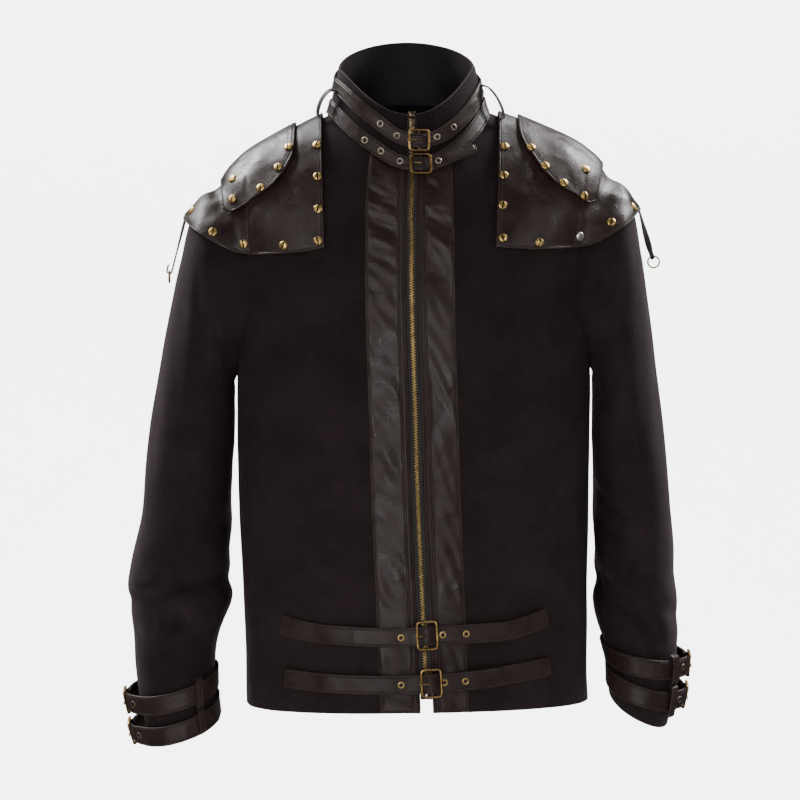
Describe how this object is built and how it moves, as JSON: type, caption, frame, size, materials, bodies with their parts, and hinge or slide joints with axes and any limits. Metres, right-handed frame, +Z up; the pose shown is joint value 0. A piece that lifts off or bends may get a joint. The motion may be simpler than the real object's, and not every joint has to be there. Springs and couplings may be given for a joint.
{
  "type": "steampunk jacket",
  "caption": "Hip-length suede jacket in its worn, hollow form: zip front, studded leather shoulder yoke, and buckled belts at collar, waist and cuffs.",
  "frame": {"origin": "middle of the neck opening, level with the side-neck points where the shoulder seams meet the collar", "axes": "+Z up along the wearer's neck, -Y to the wearer's front, +X to the wearer's left"},
  "size_m": [0.6444, 0.2642, 0.7991],
  "materials": {
    "suede": "dark brown faux suede, matt nap",
    "leather": "dark brown faux leather, semi-gloss, fine grain",
    "brass": "polished",
    "antique_brass": "darkened in the recesses",
    "zip_tape": "woven tape, matt"
  },
  "bodies": {
    "jacket": {"front_right": "suede", "side_front_right": "suede", "sleeve_top_right": "suede", "sleeve_under_right": "suede", "front_left": "suede", "side_front_left": "suede", "sleeve_top_left": "suede", "sleeve_under_left": "suede", "back": "suede", "collar": "suede", "placket_right": "leather", "welt_right": "leather", "yoke_front_right": "leather", "yoke_back_right": "leather", "overlay_right": "leather", "cuff_keeper_right": "leather", "collar_loop_right": "leather", "tail_right": "leather", "zip_tape_right": "zip_tape", "cuff_belt_right_upper": "leather", "waist_belt_upper_right": "leather", "buckle_cuff_right_upper": "antique_brass", "cuff_belt_right_lower": "leather", "waist_belt_lower_right": "leather", "buckle_cuff_right_lower": "antique_brass", "placket_left": "leather", "welt_left": "leather", "yoke_front_left": "leather", "yoke_back_left": "leather", "overlay_left": "leather", "cuff_keeper_left": "leather", "collar_loop_left": "leather", "tail_left": "leather", "zip_tape_left": "zip_tape", "cuff_belt_left_upper": "leather", "waist_belt_upper_left": "leather", "buckle_cuff_left_upper": "antique_brass", "cuff_belt_left_lower": "leather", "waist_belt_lower_left": "leather", "buckle_cuff_left_lower": "antique_brass", "collar_belt_upper": "leather", "buckle_collar_upper": "antique_brass", "buckle_waist_upper": "antique_brass", "collar_belt_lower": "leather", "buckle_collar_lower": "antique_brass", "buckle_waist_lower": "antique_brass", "zip_chain": "brass", "zip_slider": "brass"},
    "zip_pull": {"zip_pull": "antique_brass"},
    "ring_right": {"ring_right": "antique_brass"},
    "ring_left": {"ring_left": "antique_brass"}
  },
  "joints": [
    {"name": "zip_pull_swing", "type": "hinge", "parent": "jacket", "child": "zip_pull", "pos_m": [0.00152, -0.08409, -0.01002], "axis": [1, 0, 0], "range_deg": [-85, 0]},
    {"name": "ring_right_swing", "type": "hinge", "parent": "jacket", "child": "ring_right", "pos_m": [-0.27121, -0.003, -0.17929], "axis": [-0.0124, 0.9989, -0.0442], "range_deg": [-5, 60]},
    {"name": "ring_left_swing", "type": "hinge", "parent": "jacket", "child": "ring_left", "pos_m": [0.2725, -0.0058, -0.16285], "axis": [0.9626, 0.0149, 0.2704], "range_deg": [-40, 40]}
  ]
}
